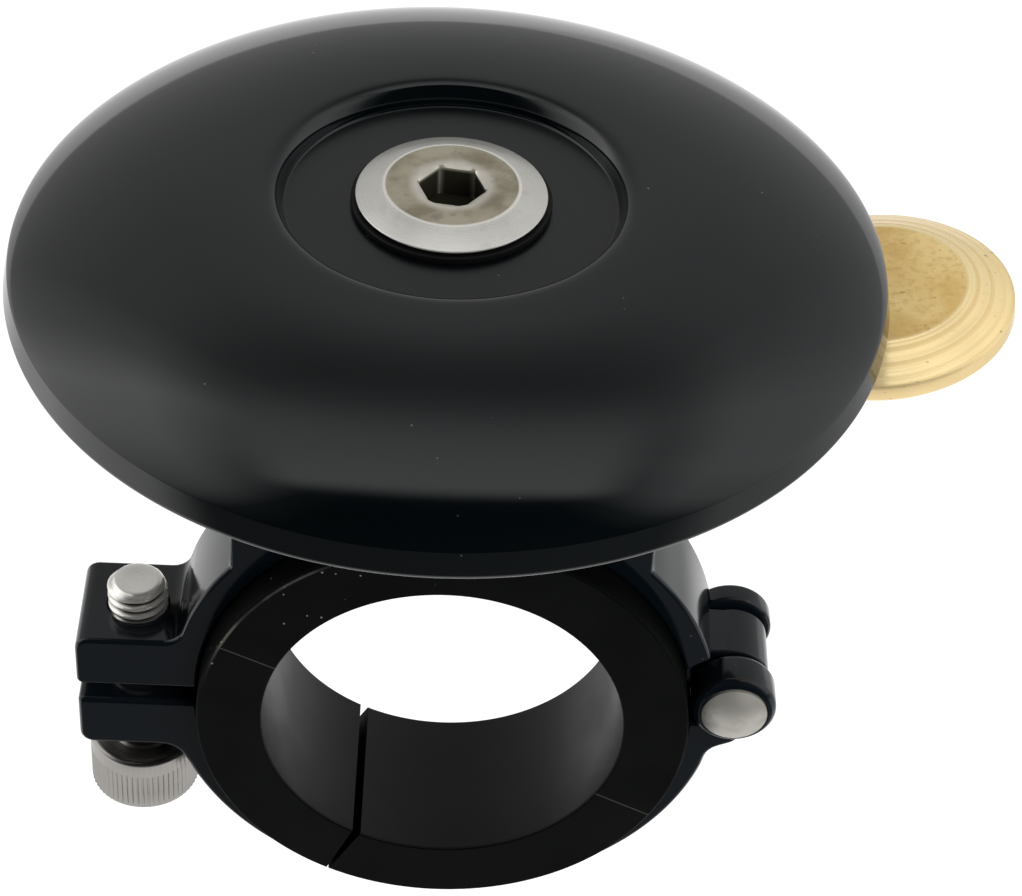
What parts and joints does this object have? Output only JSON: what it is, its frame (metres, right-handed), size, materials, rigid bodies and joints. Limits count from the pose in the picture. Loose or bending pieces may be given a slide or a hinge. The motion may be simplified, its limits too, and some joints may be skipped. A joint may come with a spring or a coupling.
{
  "type": "bicycle bell",
  "caption": "Bar-mounted bicycle bell: shallow domed shell on a hinged clamp with a split rubber shim and a sprung brass striker.",
  "frame": {"origin": "on the axis of the handlebar, at the middle of the clamp's width", "axes": "+Y along the handlebar, +X from the bar towards the clamp's hinge, +Z from the bar up through the bell"},
  "size_m": [0.0605, 0.0522, 0.0565],
  "materials": {
    "bell_lacquer": "gloss black lacquer",
    "clamp_paint": "satin gloss black paint on a casting",
    "black_rubber": "matte",
    "turned_brass": "turned, with lathe rings",
    "stainless": "turned, lightly worn",
    "bright_pin": "bright",
    "spring_steel": "bright",
    "post_alloy": "satin",
    "black_nylon": "matte"
  },
  "bodies": {
    "bell_body": {"dome": "bell_lacquer", "dome_screw": "stainless", "dome_top_washer": "black_nylon", "dome_seat_washer": "black_nylon", "dome_post": "post_alloy", "spring_clamp_washer": "stainless", "spring_root": "spring_steel", "rubber_shim": "black_rubber", "upper_clamp": "clamp_paint", "hinge_pin": "bright_pin"},
    "striker": {"spring_arm": "spring_steel", "striker_knob": "turned_brass", "knob_washer": "stainless", "knob_screw": "stainless"},
    "jaw": {"lower_clamp": "clamp_paint"},
    "screw": {"clamp_screw": "stainless"}
  },
  "joints": [
    {"name": "striker_flex", "type": "hinge", "parent": "bell_body", "child": "striker", "pos_m": [0.0057, 0.00083, 0.0239], "axis": [0.1271, -0.9919, 0], "range_deg": [-14, 3.4], "stiffness_Nm_per_rad": 0.1, "springref_deg": 0.63},
    {"name": "jaw_hinge", "type": "hinge", "parent": "bell_body", "child": "jaw", "pos_m": [0.0188, 0, 0.001], "axis": [0, -1, 0], "range_deg": [0, 50]},
    {"name": "clamp_screw_slide", "type": "slide", "parent": "jaw", "child": "screw", "axis": [0, 0, -1], "range_m": [0, 0.0352]}
  ],
  "couplings": [
    {"joint": "clamp_screw_slide", "follows": "jaw_hinge", "m_per_rad": 0.04}
  ]
}
